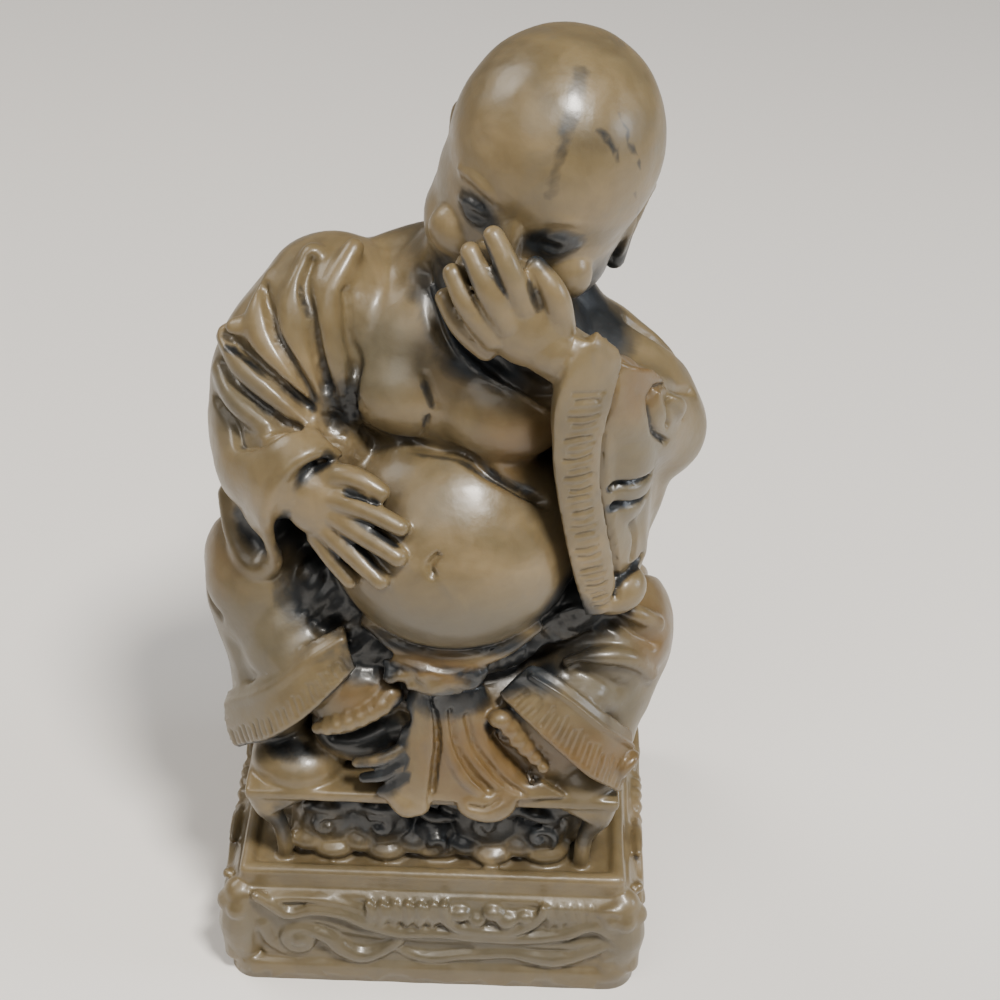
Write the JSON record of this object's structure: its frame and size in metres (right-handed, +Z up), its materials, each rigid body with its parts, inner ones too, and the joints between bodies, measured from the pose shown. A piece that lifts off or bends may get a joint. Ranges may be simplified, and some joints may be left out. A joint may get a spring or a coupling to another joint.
{
  "type": "laughing buddha statue",
  "caption": "Seated round-bellied figure in an open robe, one hand at the mouth and one on the belly, cast in one with a low table and a carved plinth.",
  "frame": {"origin": "middle of the plinth's flat underside", "axes": "+Z up through the head, the figure faces -Y, +X to the viewer's right"},
  "size_m": [0.0832, 0.065, 0.1726],
  "materials": {
    "resin": "glossy marbled cast resin"
  },
  "bodies": {
    "root": {"statue": "resin"}
  },
  "joints": []
}
